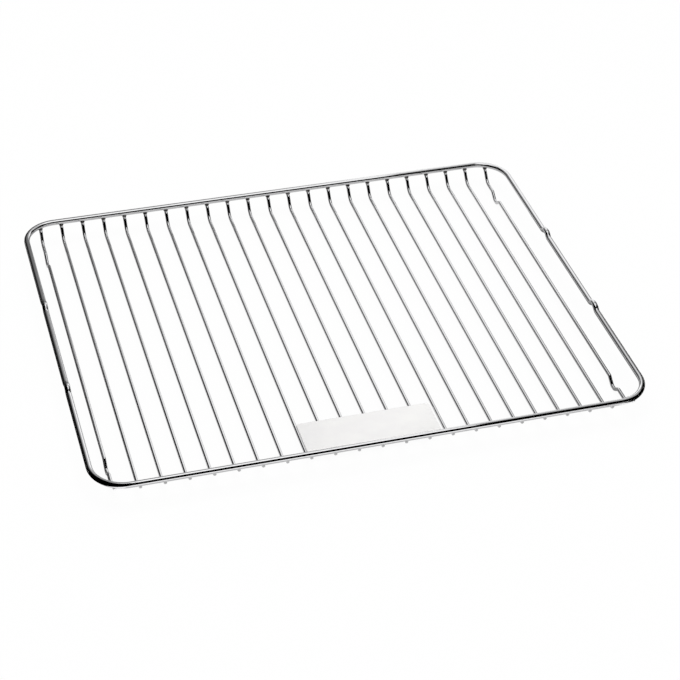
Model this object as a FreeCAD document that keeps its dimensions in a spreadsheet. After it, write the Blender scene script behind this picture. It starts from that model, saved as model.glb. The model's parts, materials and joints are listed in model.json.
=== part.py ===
"""Oven shelf rack: a bent rim, dished cross wires and a plate at the front, in millimetres."""

import FreeCAD, Part
import Sketcher
import os

# Sizes that can be set by themselves
DRIVING = {
    "rim_width": 465.0,          # outside, from side to side
    "rim_depth": 383.0,          # outside, from front to back
    "rim_diameter": 5.0,         # round wire of the rim
    "corner_radius": 28.0,       # rim corners, on the centre line
    "hump_spacing": 118.0,       # between the two humps of one side rod
    "hump_length": 13.0,
    "hump_height": 3.0,
    "hump_top": 5.0,             # between the two bends at the top of a hump
    "wire_count": 23,
    "wire_diameter": 3.0,        # round wire of the cross wires
    "dish_depth": 13.8,          # from the rim's centre line down to the wires'
    "side_gap": 15.5,            # from a side rod's centre line to the nearest wire's
    "back_riser_gap": 2.5,       # from the back bar's centre line to the tops of the back risers
    "back_riser_run": 8.0,       # how far the back risers run forward as they fall
    "front_riser_gap": 4.5,      # from the front bar's centre line to the tops of the front risers
    "front_riser_run": 11.0,     # how far the front risers run back as they fall
    "end_overrun": 0.5,          # how far a wire's end runs past the rim's centre line
    "weld_bite": 0.3,            # how deep a weld sets one piece into the next
    "foot_from_back": 39.0,      # from the back bar's centre line to the middle of a foot
    "foot_from_front": 42.0,     # the same at the front bar
    "foot_length": 20.0,
    "foot_drop": 5.2,            # how far the feet hang below the wires
    "foot_tip": 5.0,             # between the two bends at the bottom of a foot
    "plate_width": 112.0,
    "plate_depth": 35.8,
    "plate_thickness": 1.0,
    "plate_corner": 2.0,
    "plate_offset": -1.5,        # from the shelf's middle to the plate's
    "plate_clearance": 1.5,      # from the lower bends of the front risers to the plate's front edge
}

# Sizes that follow from them, with the tips of the feet at height zero
DERIVED = {
    "half_width": "=(rim_width - rim_diameter) / 2",
    "half_depth": "=(rim_depth - rim_diameter) / 2",
    "rim_radius": "=rim_diameter / 2",
    "wire_radius": "=wire_diameter / 2",
    "wire_pitch": "=2 * (half_width - side_gap) / (round(wire_count) - 1)",
    "foot_level": "=wire_radius",
    "wire_level": "=foot_level + foot_drop",
    "rim_level": "=wire_level + dish_depth",
    "hump_level": "=rim_level + hump_height",
    "end_level": "=rim_level - rim_radius - wire_radius + weld_bite",
    "plate_level": "=wire_level + wire_radius - weld_bite",
    "hump_end": "=(hump_spacing + hump_length) / 2",
    "rod_end": "=(half_depth - corner_radius + hump_end) / 2",
    "back_foot": "=half_depth - foot_from_back",
    "front_foot": "=foot_from_front - half_depth",
    "corner_offset": "=max(corner_radius - side_gap; 0)",
    "corner_inset": "=corner_radius - sqrt(corner_radius ^ 2 - corner_offset ^ 2)",
    "corner_reach": "=half_depth - corner_inset",
    "back_riser": "=back_riser_gap + back_riser_run",
    "front_riser": "=front_riser_gap + front_riser_run",
    "plate_front": "=front_riser + plate_clearance - half_depth",
    "plate_back": "=plate_front + plate_depth",
    "plate_left": "=plate_offset - plate_width / 2",
    "plate_right": "=plate_offset + plate_width / 2",
}

# Flat sides of a cross wire, within a tenth of a millimetre of round, one on top and one below
WIRE_SIDES = 10

# Paths either lie flat or stand upright from front to back
FLAT = FreeCAD.Rotation()
UPRIGHT = FreeCAD.Rotation(FreeCAD.Vector(0, 1, 0), FreeCAD.Vector(0, 0, 1), FreeCAD.Vector(1, 0, 0))

# Every path starts along the depth, so its section faces that way
FACING_DEPTH = FreeCAD.Rotation(FreeCAD.Vector(1, 0, 0), 90)

doc = FreeCAD.newDocument("oven_shelf_rack")
sheet = doc.addObject("Spreadsheet::Sheet", "Sizes")
for row, (alias, content) in enumerate({**DRIVING, **DERIVED}.items(), start=1):
    sheet.set(f"A{row}", alias)
    sheet.set(f"B{row}", str(content))
    sheet.setAlias(f"B{row}", alias)
doc.recompute()


def value(formula):
    """The present value of a formula of the sheet's sizes."""
    return float(sheet.evalExpression(formula))


def dimension(sketch, geometry, vertex, across, up):
    """Hold a point of a sketch at two formulas, measured from the sketch's origin."""
    for kind, formula in (("DistanceX", across), ("DistanceY", up)):
        rule = Sketcher.Constraint(kind, -1, 1, geometry, vertex, value(formula))
        sketch.setExpression(f"Constraints[{sketch.addConstraint(rule)}]", formula)


def bent_path(name, rotation, corners, bend=None):
    """A sketched path through corners (across, up), which are rounded where a bend radius is given."""
    sketch = doc.addObject("Sketcher::SketchObject", name)
    sketch.Placement = FreeCAD.Placement(FreeCAD.Vector(), rotation)
    points = [FreeCAD.Vector(value(across), value(up), 0) for across, up in corners]
    runs = [sketch.addGeometry(Part.LineSegment(*ends)) for ends in zip(points, points[1:])]
    for run, next_run in zip(runs, runs[1:]):
        sketch.addConstraint(Sketcher.Constraint("Coincident", run, 2, next_run, 1))

    held = [(runs[0], 1)] + [(run, 2) for run in runs]
    if bend:
        for run in runs[:-1]:
            sketch.fillet(run, 2, value(bend), True, True)
            arc = sketch.GeometryCount - 2
            rule = sketch.addConstraint(Sketcher.Constraint("Radius", arc, value(bend)))
            sketch.setExpression(f"Constraints[{rule}]", bend)
            held[run + 1] = (arc + 1, 1)
    for (geometry, vertex), corner in zip(held, corners):
        dimension(sketch, geometry, vertex, *corner)
    return sketch


def round_section(name, radius):
    """The section of the rim's wire."""
    section = doc.addObject("Part::Circle", f"{name}_section")
    section.Placement.Rotation = FACING_DEPTH
    section.setExpression("Radius", radius)
    return section


def sided_section(name, radius):
    """The section of a cross wire, with flat sides that touch its round and one of them on top."""
    section = doc.addObject("Part::RegularPolygon", f"{name}_section")
    section.Polygon = WIRE_SIDES
    section.Placement.Rotation = FACING_DEPTH
    section.setExpression("Circumradius", f"{radius} / cos(180 deg / {WIRE_SIDES})")
    return section


def bent_wire(name, path, section, start):
    """A wire that carries its section along a path from a start point (x, y, z), mitred at sharp corners."""
    for axis, formula in zip("xyz", start):
        section.setExpression(f"Placement.Base.{axis}", formula)
    sweep = doc.addObject("Part::Sweep", name)
    sweep.Sections = [section]
    sweep.Spine = (path, [])
    sweep.Transition = "Right corner"
    sweep.Solid = True
    return sweep


def side_rod(name, side):
    """One side of the rim between its corners, with two humps."""
    level = "Sizes.rim_level"
    top = "Sizes.hump_level"
    corners = [("Sizes.rod_end", level)]
    for end in (1, -1):
        middle = f"{end} * Sizes.hump_spacing / 2"
        corners.append((f"{middle} + Sizes.hump_length / 2", level))
        corners.append((f"{middle} + Sizes.hump_top / 2", top))
        corners.append((f"{middle} - Sizes.hump_top / 2", top))
        corners.append((f"{middle} - Sizes.hump_length / 2", level))
    corners.append(("-Sizes.rod_end", level))
    path = bent_path(f"{name}_path", UPRIGHT, corners)
    across = f"{side} * Sizes.half_width"
    path.setExpression("Placement.Base.x", across)
    section = round_section(name, "Sizes.rim_radius")
    return bent_wire(name, path, section, (across, "Sizes.rod_end", level))


def end_bar(name, end):
    """The front or back bar of the rim, with its two corners."""
    near = f"{end} * Sizes.rod_end"
    far = f"{end} * Sizes.half_depth"
    left = "-Sizes.half_width"
    right = "Sizes.half_width"
    level = "Sizes.rim_level"
    corners = [(left, near), (left, far), (right, far), (right, near)]
    path = bent_path(f"{name}_path", FLAT, corners, "Sizes.corner_radius")
    path.setExpression("Placement.Base.z", level)
    return bent_wire(name, path, round_section(name, "Sizes.rim_radius"), (left, near, level))


def rim():
    """The closed rim, one round wire all the way round."""
    frame = doc.addObject("Part::MultiFuse", "rim")
    frame.Shapes = [
        end_bar("back_bar", 1),
        side_rod("left_rod", -1),
        end_bar("front_bar", -1),
        side_rod("right_rod", 1),
    ]
    frame.Refine = True
    frame.Label = "rim_frame"
    return frame


def plate():
    """A flat sheet with rounded corners that lies on the wires behind the front bar."""
    body = doc.addObject("PartDesign::Body", "plate")
    body.Label = "front_plate"
    outline = body.newObject("Sketcher::SketchObject", "plate_outline")
    planes = {plane.Role: plane for plane in body.Origin.OriginFeatures}
    outline.AttachmentSupport = [(planes["XY_Plane"], "")]
    outline.MapMode = "FlatFace"
    outline.setExpression("AttachmentOffset.Base.z", "Sizes.plate_level")

    left, right = "Sizes.plate_left", "Sizes.plate_right"
    front, back = "Sizes.plate_front", "Sizes.plate_back"
    corners = [(left, front), (right, front), (right, back), (left, back)]
    points = [FreeCAD.Vector(value(across), value(along), 0) for across, along in corners]
    following = points[1:] + points[:1]
    for point, next_point in zip(points, following):
        outline.addGeometry(Part.LineSegment(point, next_point))
    for index, corner in enumerate(corners):
        next_index = (index + 1) % len(corners)
        outline.addConstraint(Sketcher.Constraint("Coincident", index, 2, next_index, 1))
        dimension(outline, index, 1, *corner)

    blank = body.newObject("PartDesign::Pad", "plate_blank")
    blank.Profile = outline
    blank.setExpression("Length", "Sizes.plate_thickness")
    doc.recompute()

    upright_edges = []
    for number, edge in enumerate(blank.Shape.Edges, start=1):
        if edge.Vertexes[0].Z != edge.Vertexes[1].Z:
            upright_edges.append(f"Edge{number}")
    rounding = body.newObject("PartDesign::Fillet", "plate_corners")
    rounding.Base = (blank, upright_edges)
    rounding.setExpression("Radius", "Sizes.plate_corner")
    body.Tip = rounding
    return body


def cross_wire(label, number, reach, feet, seats):
    """A wire hung under the rim, which it meets at reach, with dips for its feet and seats in its welds."""
    level = "Sizes.wire_level"
    top = "Sizes.end_level"
    tip = "Sizes.foot_level"
    end = f"({reach} + Sizes.end_overrun)"
    corners = [(end, top), (f"{reach} - Sizes.back_riser_gap", top), (f"{reach} - Sizes.back_riser", level)]
    for middle in feet:
        corners.append((f"{middle} + Sizes.foot_length / 2", level))
        corners.append((f"{middle} + Sizes.foot_tip / 2", tip))
        corners.append((f"{middle} - Sizes.foot_tip / 2", tip))
        corners.append((f"{middle} - Sizes.foot_length / 2", level))
    corners += [(f"Sizes.front_riser - {reach}", level), (f"Sizes.front_riser_gap - {reach}", top)]
    corners.append((f"-{end}", top))

    path = bent_path(f"{label}_path", UPRIGHT, corners)
    across = f"Sizes.side_gap - Sizes.half_width + {number} * Sizes.wire_pitch"
    path.setExpression("Placement.Base.x", across)
    wire = doc.addObject("Part::Cut", f"{label}_seated")
    section = sided_section(label, "Sizes.wire_radius")
    wire.Base = bent_wire(f"{label}_bent", path, section, (across, end, top))
    wire.Tool = seats
    wire.Label = label
    return wire


def cross_wires(seats):
    """All the wires from left to right; the two outermost ones meet the rim's corners and carry the feet."""
    last = round(value("Sizes.wire_count")) - 1
    feet = ("Sizes.back_foot", "Sizes.front_foot")
    wires = [cross_wire("left_foot_wire", 0, "Sizes.corner_reach", feet, seats)]
    for number in range(1, last):
        wires.append(cross_wire(f"cross_wire_{number:02d}", number, "Sizes.half_depth", (), seats))
    wires.append(cross_wire("right_foot_wire", last, "Sizes.corner_reach", feet, seats))
    return wires


def write_parts(nodes):
    """Check the whole document, then write one file for each piece."""
    doc.recompute()
    for item in doc.Objects:
        if "Invalid" in item.State or "Error" in item.State:
            raise RuntimeError(f"{item.Label} could not be built: {item.State}")
    for node in nodes:
        if node.Shape.isNull() or not node.Shape.isValid() or len(node.Shape.Solids) != 1:
            raise RuntimeError(f"{node.Label} is not one sound solid")
    os.makedirs("parts", exist_ok=True)
    for node in nodes:
        node.Shape.exportStep(f"parts/{node.Label}.step")


rim_frame = rim()
front_plate = plate()
weld_seats = doc.addObject("Part::Compound", "weld_seats")
weld_seats.Links = [rim_frame, front_plate]
write_parts([rim_frame, front_plate] + cross_wires(weld_seats))
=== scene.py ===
"""Oven shelf rack of chromed round wire, on a plain pale floor in soft studio light, in metres."""

import json
import math

import bmesh
import bpy
from mathutils import Matrix, Vector, noise

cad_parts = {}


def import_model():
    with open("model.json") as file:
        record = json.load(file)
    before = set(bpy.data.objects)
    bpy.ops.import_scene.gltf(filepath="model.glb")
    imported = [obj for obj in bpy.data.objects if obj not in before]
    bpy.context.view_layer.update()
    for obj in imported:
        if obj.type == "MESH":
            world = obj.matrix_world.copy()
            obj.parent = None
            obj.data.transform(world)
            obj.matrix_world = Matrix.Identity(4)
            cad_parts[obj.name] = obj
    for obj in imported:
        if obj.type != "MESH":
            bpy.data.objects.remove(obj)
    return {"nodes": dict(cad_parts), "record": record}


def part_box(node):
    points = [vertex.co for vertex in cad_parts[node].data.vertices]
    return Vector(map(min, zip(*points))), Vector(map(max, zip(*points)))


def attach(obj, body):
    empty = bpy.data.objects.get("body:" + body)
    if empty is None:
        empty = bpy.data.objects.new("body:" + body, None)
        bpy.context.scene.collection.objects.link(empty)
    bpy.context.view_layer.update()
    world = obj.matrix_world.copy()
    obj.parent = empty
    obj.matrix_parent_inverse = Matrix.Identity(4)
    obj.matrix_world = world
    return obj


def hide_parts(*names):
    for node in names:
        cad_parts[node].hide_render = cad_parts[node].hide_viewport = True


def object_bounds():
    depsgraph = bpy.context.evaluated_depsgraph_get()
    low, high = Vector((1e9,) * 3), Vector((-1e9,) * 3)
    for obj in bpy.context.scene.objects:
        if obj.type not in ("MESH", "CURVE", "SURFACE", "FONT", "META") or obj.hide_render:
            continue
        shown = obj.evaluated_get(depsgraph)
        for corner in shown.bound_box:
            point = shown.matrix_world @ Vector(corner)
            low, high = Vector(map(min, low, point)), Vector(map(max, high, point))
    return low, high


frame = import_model()
cad_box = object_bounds()

# Rim wire
RIM_RADIUS = 0.0025
CORNER_BEND = 0.028
HUMP_SPACING = 0.118
HUMP_LENGTH = 0.013
HUMP_TOP = 0.005
HUMP_HEIGHT = 0.003
HUMP_BEND = 0.006
RIM_SIDES = 40

# Cross wires
WIRE_RADIUS = 0.0015
END_OVERRUN = 0.0005
BACK_RISER_GAP = 0.0025
BACK_RISER_RUN = 0.008
FRONT_RISER_GAP = 0.0045
FRONT_RISER_RUN = 0.011
BACK_TOP_BEND = 0.0055
BACK_KNEE_BEND = 0.011
FRONT_BEND = 0.003
WELD_BITE = 0.0003
SHEARED_EDGE = 0.0003
FOOT_LENGTH = 0.020
FOOT_TIP = 0.005
FOOT_BEND = 0.0025
WIRE_SIDES = 28

# Weld beads between the wires' ends and the rim
BEAD_HALF_SIZE = Vector((0.0021, 0.0021, 0.0012))
BEAD_BACK_FROM_END = 0.0015
BEAD_ROUGHNESS = 0.0003
BEAD_LUMPS = 1.7
BEAD_VARIETY = 400
BEAD_SEGMENTS = 16
BEAD_RINGS = 10

# Plate
PLATE_CORNER = 0.002
PLATE_CORNER_STEPS = 10
PLATE_EDGE = 0.0003
PLATE_EDGE_ANGLES = (0, 30, 60, 90)

# All meshes
BEND_STEP = math.radians(7.5)
SHARP_ANGLE = math.radians(40)
X_AXIS = Vector((1, 0, 0))
UP = Vector((0, 0, 1))

# Finishes: colours from dark to light, and roughness from smooth to dull
RIM_COLOURS = ((0.86, 0.86, 0.87), (0.92, 0.92, 0.93))
RIM_ROUGHNESS = (0.03, 0.07)
WIRE_COLOURS = ((0.90, 0.90, 0.91), (0.95, 0.95, 0.96))
WIRE_ROUGHNESS = (0.04, 0.09)
WELD_COLOURS = ((0.16, 0.15, 0.15), (0.36, 0.35, 0.34))
WELD_ROUGHNESS = (0.2, 0.4)
PLATE_FACE_COLOURS = ((0.92, 0.91, 0.91), (0.97, 0.965, 0.95))
# Darker colour for the plate's front and rear edge strips: painted shade along those edges
PLATE_EDGE_SHADE_COLOURS = ((0.50, 0.49, 0.49), (0.60, 0.59, 0.58))
PLATE_ROUGHNESS = (0.38, 0.50)
PLATE_METALLIC = 0.2

# Noise cells in each metre along a wire and in each turn round it, or in each metre along x, y and z
CHROME_PATCHES = (60, 3, 1)
CHROME_LINES = (25, 40, 1)
WELD_GRAIN = (900, 900, 900)
PLATE_BRUSHING = (30, 2500, 30)
PLATE_CLOUDS = (40, 60, 40)
COARSE_DETAIL = 2
FINE_DETAIL = 3

# The part of a noise's range that is spread over the colours and the roughness
NOISE_LOW = 0.3
NOISE_HIGH = 0.7

# Bumps: strength, and height in metres
CHROME_BUMP = (0.012, 0.00005)
WELD_BUMP = (0.3, 0.0002)
PLATE_BUMP = (0.08, 0.00003)

# Camera, found by matching the rim and the wires to the photograph
CAMERA_PLACE = (-0.37255, -1.32948, 1.01308)
CAMERA_ANGLES = (53.3302, -0.8891, -15.7183)
CAMERA_LENS = 104.071
SENSOR_WIDTH = 36.0

# Floor, room and lamp
FLOOR_SIZE = 6.0
FLOOR_WHITE = (0.93, 0.93, 0.93)
FLOOR_GLOW = 0.94
WORLD_FILL = 0.7
LAMP_PLACE = (0.0, 0.1, 2.2)
LAMP_AIM = (0, 0, 0)
LAMP_SIZE = 1.6
LAMP_POWER = 20.0

# Ways that a studio card is turned, in degrees
LEVEL = (0, 0, 0)
UPRIGHT = (90, 0, 0)
SIDEWAYS = (90, 0, 90)

# Studio cards that only show in the metal: name, middle, turn, width and height,
# brightness at the left and at the right, and the share of it at the foot where it fades
STUDIO_CARDS = (
    ("front_flag", (0.0, -1.4, 1.8), UPRIGHT, (4.0, 3.3), 0.0, 0.0),
    ("front_left_skirt", (-1.1, -1.4, 0.075), UPRIGHT, (1.8, 0.15), 0.0, 0.0),
    ("left_flag", (-1.3, -0.325, 0.8), SIDEWAYS, (2.15, 1.6), 0.0, 0.0),
    ("right_flag", (1.3, -0.3, 0.575), SIDEWAYS, (2.2, 1.15), 0.0, 0.0),
    ("ceiling_flag", (0.0, -0.865, 1.01), LEVEL, (4.0, 1.07), 0.0, 0.0),
    ("ceiling_card", (0.135, 0.085, 1.0), LEVEL, (0.49, 0.83), 1.1, 1.05),
    ("ceiling_left_card", (-0.23, 0.3, 1.0), LEVEL, (0.24, 0.4), 0.1, 1.1),
    ("ceiling_left_flag", (-0.7, 0.085, 1.01), LEVEL, (1.3, 0.83), 0.0, 0.0),
    ("ceiling_side_flag", (1.19, -0.21, 1.01), LEVEL, (1.62, 0.42), 0.0, 0.0),
    ("ceiling_side_card", (0.83, 0.25, 1.0), LEVEL, (0.9, 0.5), 0.5, 0.35),
    ("back_left_flag", (-0.9, 0.75, 0.8), UPRIGHT, (1.3, 1.8), 0.0, 0.015),
    ("back_right_flag", (0.75, 0.75, 0.8), UPRIGHT, (2.0, 1.8), 0.1, 0.5),
    ("back_upper_left", (-0.15, 0.6, 0.76), UPRIGHT, (0.7, 0.28), 0.03, 0.72),
    ("back_upper_right", (0.39, 0.6, 0.74), UPRIGHT, (0.38, 0.32), 1.1, 0.05),
    ("back_middle_left", (-0.05, 0.6, 0.545), UPRIGHT, (0.5, 0.15), 0.02, 0.78),
    ("back_lower_left", (-0.15, 0.6, 0.365), UPRIGHT, (0.7, 0.21), 0.02, 0.62, 0.4),
    ("back_low_card", (0.12, 0.6, 0.13), UPRIGHT, (0.16, 0.26), 0.1, 0.65),
    ("back_lower_right", (0.39, 0.6, 0.34), UPRIGHT, (0.38, 0.48), 1.15, 0.8),
    ("back_side_fade", (0.74, 0.6, 0.45), UPRIGHT, (0.32, 0.9), 0.5, 0.0),
    ("back_side_flag", (1.3, 0.6, 0.45), UPRIGHT, (0.8, 0.9), 0.0, 0.05),
    # The next card, under the rack, is painted shadow: the rack's light shade on the floor, seen only in the
    # metal
    ("floor_shadow_card", (-0.2, -0.03, 0.0004), LEVEL, (0.8, 0.31), 0.7, 0.58),
    ("floor_right_rod_flag", (0.195, -0.03, 0.0005), LEVEL, (0.11, 0.31), 0.5, 0.1),
    ("floor_left_rod_flag", (-0.219, -0.03, 0.0005), LEVEL, (0.028, 0.31), 0.25, 0.25),
    ("floor_back_flag", (0.016, 0.165, 0.0004), LEVEL, (0.496, 0.08), 0.5, 0.55),
    ("floor_far_flag", (-0.35, 0.6, 0.0004), LEVEL, (1.1, 0.79), 0.0, 0.3),
    ("floor_left_flag", (-0.766, -0.55, 0.0005), LEVEL, (1.068, 1.5), 0.0, 0.0),
    ("floor_right_flag", (0.6, -0.31, 0.0004), LEVEL, (0.75, 0.58), 0.0, 0.0),
    # The next card is painted shadow: the darker floor just in front of the front bar, seen only in the metal
    ("floor_front_shadow_card", (0.0, -0.212, 0.0004), LEVEL, (0.42, 0.04), 0.5, 0.5),
)

# Places taken from the frame
rim_low, rim_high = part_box("rim_frame")
half_width = rim_high.x - RIM_RADIUS
half_depth = rim_high.y - RIM_RADIUS
rim_level = rim_low.z + RIM_RADIUS
end_level = rim_low.z - WIRE_RADIUS + WELD_BITE
foot_level = cad_box[0].z + WIRE_RADIUS
cross_names = sorted(name for name in frame["nodes"] if name.startswith("cross_wire"))
foot_names = sorted(name for name in frame["nodes"] if name.endswith("_wire"))
wire_names = cross_names + foot_names
wire_level = min(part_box(name)[0].z for name in cross_names) + WIRE_RADIUS
foot_places = [mount["pos_m"] for mount in frame["record"]["mounts"] if mount["name"].endswith("_foot")]


# Shapes

def rounded_corner(before, corner, after, bend):
    """Points and directions along the arc that rounds one corner of a path."""
    arriving = (corner - before).normalized()
    leaving = (after - corner).normalized()
    turn = arriving.angle(leaving)
    axis = arriving.cross(leaving).normalized()
    enter = corner - arriving * bend * math.tan(turn / 2)
    centre = enter + axis.cross(arriving) * bend
    steps = math.ceil(turn / BEND_STEP)
    stations = []
    for step in range(steps + 1):
        rotation = Matrix.Rotation(turn * step / steps, 3, axis)
        stations.append((centre + rotation @ (enter - centre), rotation @ arriving))
    return stations


def closed_path(corners):
    """Stations (point, direction) round a closed path of corners (point, bend radius)."""
    stations = []
    for index, (corner, bend) in enumerate(corners):
        before = corners[index - 1][0]
        after = corners[(index + 1) % len(corners)][0]
        stations += rounded_corner(before, corner, after, bend)
    return stations


def open_path(corners):
    """Stations (point, direction) along a path from its first corner to its last."""
    points = [corner for corner, bend in corners]
    stations = [(points[0], (points[1] - points[0]).normalized())]
    for index in range(1, len(corners) - 1):
        stations += rounded_corner(*points[index - 1:index + 2], corners[index][1])
    stations.append((points[-1], (points[-1] - points[-2]).normalized()))
    return stations


def sheared_ends(stations):
    """The same stations with a small worn edge at each cut end, as (point, direction, radius lost)."""
    first, first_direction = stations[0]
    last, last_direction = stations[-1]
    inner = [(point, direction, 0.0) for point, direction in stations[1:-1]]
    start = [
        (first, first_direction, SHEARED_EDGE),
        (first + first_direction * SHEARED_EDGE, first_direction, 0.0),
    ]
    finish = [
        (last - last_direction * SHEARED_EDGE, last_direction, 0.0),
        (last, last_direction, SHEARED_EDGE),
    ]
    return start + inner + finish


def finished_mesh(name, builder, material, slot, *nodes):
    """Turn a built mesh into a smooth piece that stands for some CAD nodes."""
    mesh = bpy.data.meshes.new(name)
    bmesh.ops.recalc_face_normals(builder, faces=builder.faces)
    builder.to_mesh(mesh)
    builder.free()
    mesh.shade_smooth()
    mesh.set_sharp_from_angle(angle=SHARP_ANGLE)
    mesh.materials.append(material)
    piece = bpy.data.objects.new(name, mesh)
    bpy.context.scene.collection.objects.link(piece)
    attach(piece, "root")
    if nodes:
        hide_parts(*nodes)
    return piece


def tube(stations, radius, sides, across=None, closed=False):
    """A round tube through stations, with its length in metres and its turn as texture coordinates."""
    builder = bmesh.new()
    layer = builder.loops.layers.uv.new("along_and_around")
    rings = []
    lengths = [0.0]
    for index, (point, direction, lost) in enumerate(stations):
        side = across or direction.cross(UP).normalized()
        top = side.cross(direction)
        ring = []
        for number in range(sides):
            angle = math.tau * number / sides
            offset = side * math.cos(angle) + top * math.sin(angle)
            ring.append(builder.verts.new(point + offset * (radius - lost)))
        rings.append(ring)
        if index:
            lengths.append(lengths[-1] + (point - stations[index - 1][0]).length)
    if closed:
        rings.append(rings[0])
        lengths.append(lengths[-1] + (stations[0][0] - stations[-1][0]).length)

    for index in range(len(rings) - 1):
        for number in range(sides):
            following = (number + 1) % sides
            near, far = rings[index], rings[index + 1]
            face = builder.faces.new((near[number], near[following], far[following], far[number]))
            turns = (number, number + 1, number + 1, number)
            places = (lengths[index], lengths[index], lengths[index + 1], lengths[index + 1])
            for loop, place, turn in zip(face.loops, places, turns):
                loop[layer].uv = (place, turn / sides)
    if not closed:
        builder.faces.new(rings[0])
        builder.faces.new(rings[-1])
    return builder


def rim_piece(material):
    """The closed rim: two bars, four corners and two side rods with humps."""
    corners = []
    for side in (-1, 1):
        across = side * half_width
        corners.append((Vector((across, side * half_depth, rim_level)), CORNER_BEND))
        for hump in (side, -side):
            middle = hump * HUMP_SPACING / 2
            for along, lift in (
                (HUMP_LENGTH / 2, 0), (HUMP_TOP / 2, HUMP_HEIGHT),
                (-HUMP_TOP / 2, HUMP_HEIGHT), (-HUMP_LENGTH / 2, 0),
            ):
                place = Vector((across, middle + side * along, rim_level + lift))
                corners.append((place, HUMP_BEND))
        corners.append((Vector((across, -side * half_depth, rim_level)), CORNER_BEND))
    stations = [(point, direction, 0.0) for point, direction in closed_path(corners)]
    builder = tube(stations, RIM_RADIUS, RIM_SIDES, closed=True)
    finished_mesh("chromed_rim", builder, material, "rim_wire", "rim_frame")


def wire_piece(node, material):
    """One cross wire: a flat run hung between a steep riser at the back and a gentler one at the front."""
    low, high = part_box(node)
    across = (low.x + high.x) / 2
    back_top = high.y - END_OVERRUN - BACK_RISER_GAP
    front_top = low.y + END_OVERRUN + FRONT_RISER_GAP

    def place(along, level):
        return Vector((across, along, level))

    corners = [(place(high.y, end_level), 0)]
    corners.append((place(back_top, end_level), BACK_TOP_BEND))
    corners.append((place(back_top - BACK_RISER_RUN, wire_level), BACK_KNEE_BEND))
    feet = [foot[1] for foot in foot_places if low.x < foot[0] < high.x]
    for middle in sorted(feet, reverse=True):
        corners.append((place(middle + FOOT_LENGTH / 2, wire_level), FOOT_BEND))
        corners.append((place(middle + FOOT_TIP / 2, foot_level), FOOT_BEND))
        corners.append((place(middle - FOOT_TIP / 2, foot_level), FOOT_BEND))
        corners.append((place(middle - FOOT_LENGTH / 2, wire_level), FOOT_BEND))
    corners.append((place(front_top + FRONT_RISER_RUN, wire_level), FRONT_BEND))
    corners.append((place(front_top, end_level), FRONT_BEND))
    corners.append((place(low.y, end_level), 0))
    stations = sheared_ends(open_path(corners))
    builder = tube(stations, WIRE_RADIUS, WIRE_SIDES, across=X_AXIS)
    finished_mesh(f"chromed_{node}", builder, material, "grid_wire", node)


def weld_beads(material):
    """The small rough beads that join the wires' ends to the rim."""
    builder = bmesh.new()
    for node in wire_names:
        low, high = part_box(node)
        across = (low.x + high.x) / 2
        for end, inward in ((high.y, -1), (low.y, 1)):
            middle = Vector((across, end + inward * BEAD_BACK_FROM_END, rim_low.z))
            bead = bmesh.ops.create_uvsphere(
                builder, u_segments=BEAD_SEGMENTS, v_segments=BEAD_RINGS, radius=1.0)
            for vertex in bead["verts"]:
                direction = vertex.co.copy()
                swell = BEAD_ROUGHNESS * noise.noise(direction * BEAD_LUMPS + middle * BEAD_VARIETY)
                vertex.co = middle + direction * BEAD_HALF_SIZE + direction * swell
    finished_mesh("weld_beads", builder, material, "grid_wire")


def plate_loop(builder, low, high, inset, level):
    """One rounded loop round the plate, drawn in from its outline by an inset."""
    radius = PLATE_CORNER - inset
    loop = []
    corners = ((high.x, high.y, 0), (low.x, high.y, 90), (low.x, low.y, 180), (high.x, low.y, 270))
    for corner_x, corner_y, start in corners:
        centre_x = corner_x - math.copysign(PLATE_CORNER, corner_x - (low.x + high.x) / 2)
        centre_y = corner_y - math.copysign(PLATE_CORNER, corner_y - (low.y + high.y) / 2)
        for step in range(PLATE_CORNER_STEPS + 1):
            angle = math.radians(start + 90 * step / PLATE_CORNER_STEPS)
            across = centre_x + radius * math.cos(angle)
            along = centre_y + radius * math.sin(angle)
            loop.append(builder.verts.new((across, along, level)))
    return loop


def plate_piece(face_material, edge_shade_material):
    """The bare sheet behind the front bar, with slightly rounded edges; the strips along its front and rear
    edges are coloured darker, a painted shade.
    """
    low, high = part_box("front_plate")
    builder = bmesh.new()
    quarter = [math.radians(angle) for angle in PLATE_EDGE_ANGLES]
    drawn_in = [(PLATE_EDGE * (1 - math.sin(angle)), PLATE_EDGE * (1 - math.cos(angle))) for angle in quarter]
    profile = [(inset, low.z + rise) for inset, rise in drawn_in]
    profile += [(inset, high.z - rise) for inset, rise in reversed(drawn_in)]
    loops = [plate_loop(builder, low, high, inset, level) for inset, level in profile]
    for lower, upper in zip(loops, loops[1:]):
        for index in range(len(lower)):
            following = (index + 1) % len(lower)
            edge = builder.faces.new((lower[index], lower[following], upper[following], upper[index]))
            # Faces along the front and rear edges take the darker colour, a painted shade along those edges
            if abs(lower[following].co.x - lower[index].co.x) > PLATE_CORNER:
                edge.material_index = 1
    builder.faces.new(loops[0])
    builder.faces.new(loops[-1])
    piece = finished_mesh("bare_plate", builder, face_material, "plate_sheet", "front_plate")
    piece.data.materials.append(edge_shade_material)


# Materials

def shader(name):
    """A new material with its node tree and its main shader."""
    material = bpy.data.materials.new(name)
    material.use_nodes = True
    tree = material.node_tree
    return material, tree, tree.nodes["Principled BSDF"]


def stretched_noise(tree, source, stretch, detail):
    """Noise drawn out along one direction of a texture coordinate."""
    coordinates = tree.nodes.new("ShaderNodeTexCoord")
    mapping = tree.nodes.new("ShaderNodeMapping")
    mapping.inputs["Scale"].default_value = stretch
    texture = tree.nodes.new("ShaderNodeTexNoise")
    texture.inputs["Scale"].default_value = 1.0
    texture.inputs["Detail"].default_value = detail
    tree.links.new(coordinates.outputs[source], mapping.inputs["Vector"])
    tree.links.new(mapping.outputs["Vector"], texture.inputs["Vector"])
    return texture.outputs["Fac"]


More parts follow.
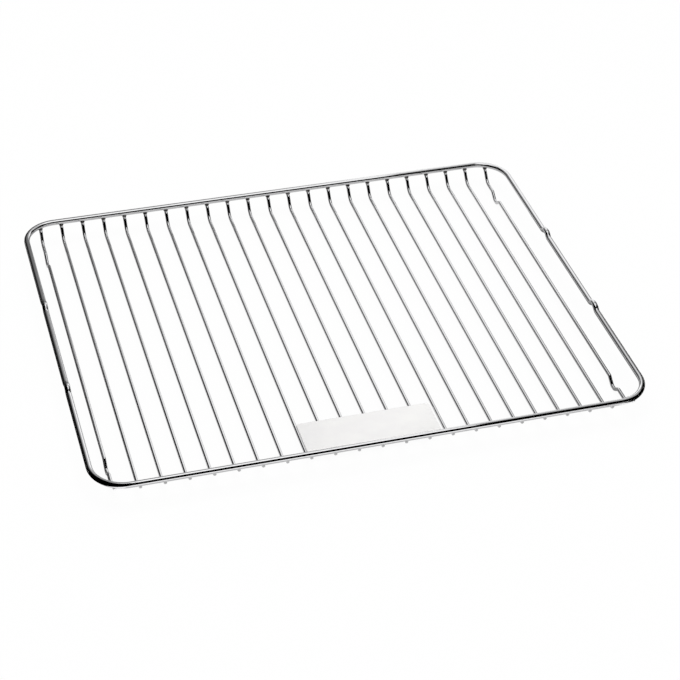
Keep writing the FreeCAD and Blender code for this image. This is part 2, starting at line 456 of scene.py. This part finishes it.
def spread(tree, factor, low, high):
    """Spread a noise over a range of values."""
    node = tree.nodes.new("ShaderNodeMapRange")
    node.inputs["From Min"].default_value = NOISE_LOW
    node.inputs["From Max"].default_value = NOISE_HIGH
    node.inputs["To Min"].default_value = low
    node.inputs["To Max"].default_value = high
    tree.links.new(factor, node.inputs["Value"])
    return node.outputs["Result"]


def tinted(tree, factor, dark, light):
    """Run a noise between two colours."""
    ramp = tree.nodes.new("ShaderNodeValToRGB")
    ramp.color_ramp.elements[0].position = NOISE_LOW
    ramp.color_ramp.elements[0].color = (*dark, 1)
    ramp.color_ramp.elements[1].position = NOISE_HIGH
    ramp.color_ramp.elements[1].color = (*light, 1)
    tree.links.new(factor, ramp.inputs["Fac"])
    return ramp.outputs["Color"]


def bumped(tree, bsdf, height, strength, distance):
    """Raise a surface by a noise."""
    bump = tree.nodes.new("ShaderNodeBump")
    bump.inputs["Strength"].default_value = strength
    bump.inputs["Distance"].default_value = distance
    tree.links.new(height, bump.inputs["Height"])
    tree.links.new(bump.outputs["Normal"], bsdf.inputs["Normal"])


def chrome(name, colours, roughness):
    """Bright plated wire with faint, duller drawing lines along it and darker patches."""
    material, tree, bsdf = shader(name)
    bsdf.inputs["Metallic"].default_value = 1.0
    patches = stretched_noise(tree, "UV", CHROME_PATCHES, FINE_DETAIL)
    lines = stretched_noise(tree, "UV", CHROME_LINES, COARSE_DETAIL)
    tree.links.new(tinted(tree, patches, *colours), bsdf.inputs["Base Color"])
    tree.links.new(spread(tree, lines, *roughness), bsdf.inputs["Roughness"])
    bumped(tree, bsdf, lines, *CHROME_BUMP)
    return material


def satin_sheet(name, colours):
    """Pale sheet, finely brushed along its length."""
    material, tree, bsdf = shader(name)
    bsdf.inputs["Metallic"].default_value = PLATE_METALLIC
    brushing = stretched_noise(tree, "Object", PLATE_BRUSHING, FINE_DETAIL)
    clouds = stretched_noise(tree, "Object", PLATE_CLOUDS, COARSE_DETAIL)
    tree.links.new(tinted(tree, clouds, *colours), bsdf.inputs["Base Color"])
    tree.links.new(spread(tree, brushing, *PLATE_ROUGHNESS), bsdf.inputs["Roughness"])
    bumped(tree, bsdf, brushing, *PLATE_BUMP)
    return material


def weld_metal():
    """Plated weld, rougher and darker than the wire."""
    material, tree, bsdf = shader("plated_weld")
    bsdf.inputs["Metallic"].default_value = 1.0
    grain = stretched_noise(tree, "Object", WELD_GRAIN, FINE_DETAIL)
    tree.links.new(tinted(tree, grain, *WELD_COLOURS), bsdf.inputs["Base Color"])
    tree.links.new(spread(tree, grain, *WELD_ROUGHNESS), bsdf.inputs["Roughness"])
    bumped(tree, bsdf, grain, *WELD_BUMP)
    return material


# Studio

def bare_material(name):
    """A new material with an empty node tree and its output."""
    material = bpy.data.materials.new(name)
    material.use_nodes = True
    tree = material.node_tree
    tree.nodes.clear()
    return material, tree, tree.nodes.new("ShaderNodeOutputMaterial")


def seen_directly(tree):
    """One where a ray comes from the camera, a reflection or glass, and zero elsewhere."""
    path = tree.nodes.new("ShaderNodeLightPath")
    seen = path.outputs["Is Camera Ray"]
    for kind in ("Is Glossy Ray", "Is Transmission Ray"):
        larger = tree.nodes.new("ShaderNodeMath")
        larger.operation = "MAXIMUM"
        tree.links.new(seen, larger.inputs[0])
        tree.links.new(path.outputs[kind], larger.inputs[1])
        seen = larger.outputs["Value"]
    return seen


def card(name, place, angles, size, material):
    """A flat stage card: its middle, its turn in degrees and its width and height."""
    mesh = bpy.data.meshes.new(name)
    across, up = size[0] / 2, size[1] / 2
    corners = [(-across, -up, 0), (across, -up, 0), (across, up, 0), (-across, up, 0)]
    mesh.from_pydata(corners, [], [(0, 1, 2, 3)])
    mesh.materials.append(material)
    plane = bpy.data.objects.new(name, mesh)
    plane.location = place
    plane.rotation_euler = [math.radians(angle) for angle in angles]
    bpy.context.scene.collection.objects.link(plane)
    return plane


def floor():
    """A white floor that keeps a faint shadow."""
    material, tree, output = bare_material("studio_floor")
    matt = tree.nodes.new("ShaderNodeBsdfDiffuse")
    matt.inputs["Color"].default_value = (*FLOOR_WHITE, 1)
    glow = tree.nodes.new("ShaderNodeEmission")
    share = tree.nodes.new("ShaderNodeMath")
    share.operation = "MULTIPLY"
    share.inputs[1].default_value = FLOOR_GLOW
    mix = tree.nodes.new("ShaderNodeMixShader")
    tree.links.new(seen_directly(tree), share.inputs[0])
    tree.links.new(share.outputs["Value"], mix.inputs["Fac"])
    tree.links.new(matt.outputs["BSDF"], mix.inputs[1])
    tree.links.new(glow.outputs["Emission"], mix.inputs[2])
    tree.links.new(mix.outputs["Shader"], output.inputs["Surface"])
    card("studio_floor", (0, 0, cad_box[0].z), LEVEL, (FLOOR_SIZE, FLOOR_SIZE), material)


def flag(name, place, angles, size, left, right, foot=1.0):
    """A card that only shows in the metal, graded from left to right and down to a share at its foot."""
    material, tree, output = bare_material(name)
    coordinates = tree.nodes.new("ShaderNodeTexCoord")
    axes = tree.nodes.new("ShaderNodeSeparateXYZ")
    grade = tree.nodes.new("ShaderNodeMapRange")
    grade.inputs["To Min"].default_value = left
    grade.inputs["To Max"].default_value = right
    fade = tree.nodes.new("ShaderNodeMapRange")
    fade.inputs["To Min"].default_value = foot
    fade.inputs["To Max"].default_value = 1.0
    both = tree.nodes.new("ShaderNodeMath")
    both.operation = "MULTIPLY"
    cloth = tree.nodes.new("ShaderNodeEmission")
    tree.links.new(coordinates.outputs["Generated"], axes.inputs["Vector"])
    tree.links.new(axes.outputs["X"], grade.inputs["Value"])
    tree.links.new(axes.outputs["Y"], fade.inputs["Value"])
    tree.links.new(grade.outputs["Result"], both.inputs[0])
    tree.links.new(fade.outputs["Result"], both.inputs[1])
    tree.links.new(both.outputs["Value"], cloth.inputs["Strength"])
    tree.links.new(cloth.outputs["Emission"], output.inputs["Surface"])
    plane = card(name, place, angles, size, material)
    plane.visible_camera = False
    plane.visible_diffuse = False
    plane.visible_shadow = False
    plane.visible_transmission = False
    plane.visible_volume_scatter = False


def world():
    """A white room to the camera and the metal, and a dimmer light for the rest."""
    room = bpy.data.worlds.new("white_room")
    room.use_nodes = True
    tree = room.node_tree
    background = tree.nodes["Background"]
    background.inputs["Color"].default_value = (1, 1, 1, 1)
    strength = tree.nodes.new("ShaderNodeMapRange")
    strength.inputs["To Min"].default_value = WORLD_FILL
    strength.inputs["To Max"].default_value = 1.0
    tree.links.new(seen_directly(tree), strength.inputs["Value"])
    tree.links.new(strength.outputs["Result"], background.inputs["Strength"])
    bpy.context.scene.world = room


def softbox():
    """A square soft lamp overhead, which doesn't show in the metal."""
    lamp = bpy.data.lights.new("overhead_softbox", "AREA")
    lamp.shape = "SQUARE"
    lamp.size = LAMP_SIZE
    lamp.energy = LAMP_POWER
    box = bpy.data.objects.new("overhead_softbox", lamp)
    box.location = LAMP_PLACE
    box.rotation_euler = (Vector(LAMP_AIM) - Vector(LAMP_PLACE)).to_track_quat("-Z", "Y").to_euler()
    box.visible_glossy = False
    bpy.context.scene.collection.objects.link(box)


def camera():
    """The camera where the photograph was taken from."""
    lens = bpy.data.cameras.new("camera")
    lens.lens = CAMERA_LENS
    lens.sensor_width = SENSOR_WIDTH
    view = bpy.data.objects.new("camera", lens)
    view.location = CAMERA_PLACE
    view.rotation_euler = [math.radians(angle) for angle in CAMERA_ANGLES]
    bpy.context.scene.collection.objects.link(view)
    bpy.context.scene.camera = view


rim_piece(chrome("rim_chrome", RIM_COLOURS, RIM_ROUGHNESS))
wire_chrome = chrome("wire_chrome", WIRE_COLOURS, WIRE_ROUGHNESS)
for wire_name in wire_names:
    wire_piece(wire_name, wire_chrome)
weld_beads(weld_metal())
plate_face = satin_sheet("plate_face", PLATE_FACE_COLOURS)
# The edge colour is painted shade along the plate's front and rear edges
shaded_plate_edge = satin_sheet("shaded_plate_edge", PLATE_EDGE_SHADE_COLOURS)
plate_piece(plate_face, shaded_plate_edge)

floor()
world()
camera()
softbox()
for studio_card in STUDIO_CARDS:
    flag(*studio_card)
bpy.context.scene.view_settings.view_transform = "Standard"
